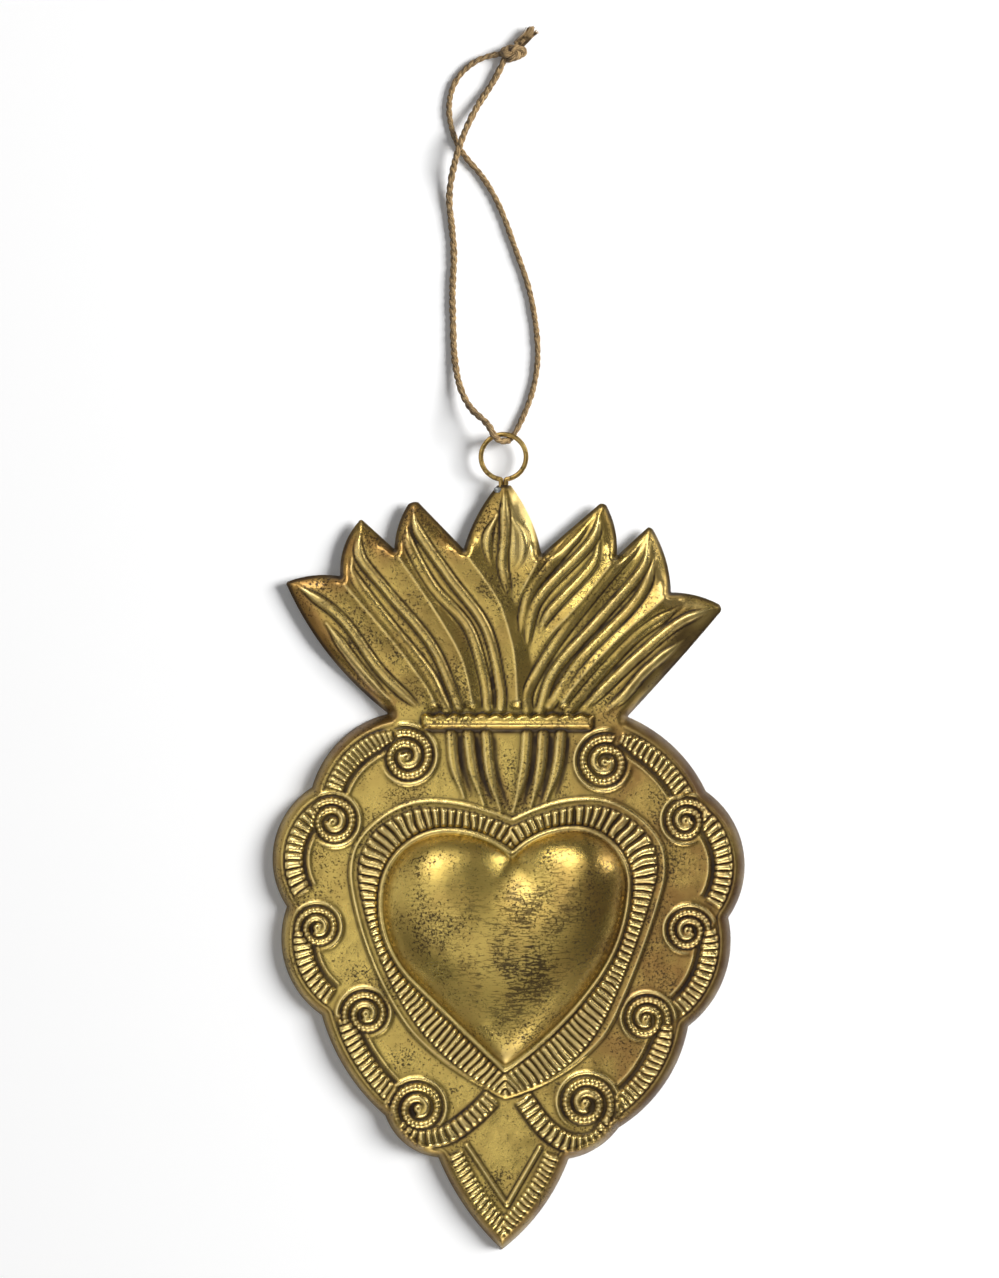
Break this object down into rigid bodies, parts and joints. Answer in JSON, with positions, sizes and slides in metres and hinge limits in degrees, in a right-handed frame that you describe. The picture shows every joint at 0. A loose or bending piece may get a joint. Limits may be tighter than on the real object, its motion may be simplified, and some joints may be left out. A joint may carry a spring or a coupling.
{
  "type": "pressed tin heart ornament",
  "caption": "Pressed tin heart wall ornament with a flame crown, scroll border and domed heart, a soldered wire hanging eye and a knotted loop of twine.",
  "frame": {"origin": "middle of the sheet and its eye, on the back plane that the ornament lies or hangs on", "axes": "+Z out of the front, +Y to the top where the eye and twine are, +X to the right seen from the front"},
  "size_m": [0.1542, 0.3994, 0.0188],
  "materials": {
    "gilt_tin": "aged gold lacquer on tin, worn bright on the ridges and brown in the hollows",
    "wire": "dull aged brass wire",
    "solder": "dull grey solder",
    "twine": "hairy two-ply jute"
  },
  "bodies": {
    "ornament": {"tin_sheet": "gilt_tin", "hanging_eye": "wire", "solder_joint": "solder"},
    "twine": {"twine_left_strand": "twine", "twine_right_strand": "twine", "twine_knot": "twine", "twine_tails": "twine"}
  },
  "joints": [
    {"name": "twine_swing", "type": "hinge", "parent": "ornament", "child": "twine", "pos_m": [0, 0.1328, 0.0046], "axis": [1, 0, 0], "range_deg": [0, 90]}
  ]
}
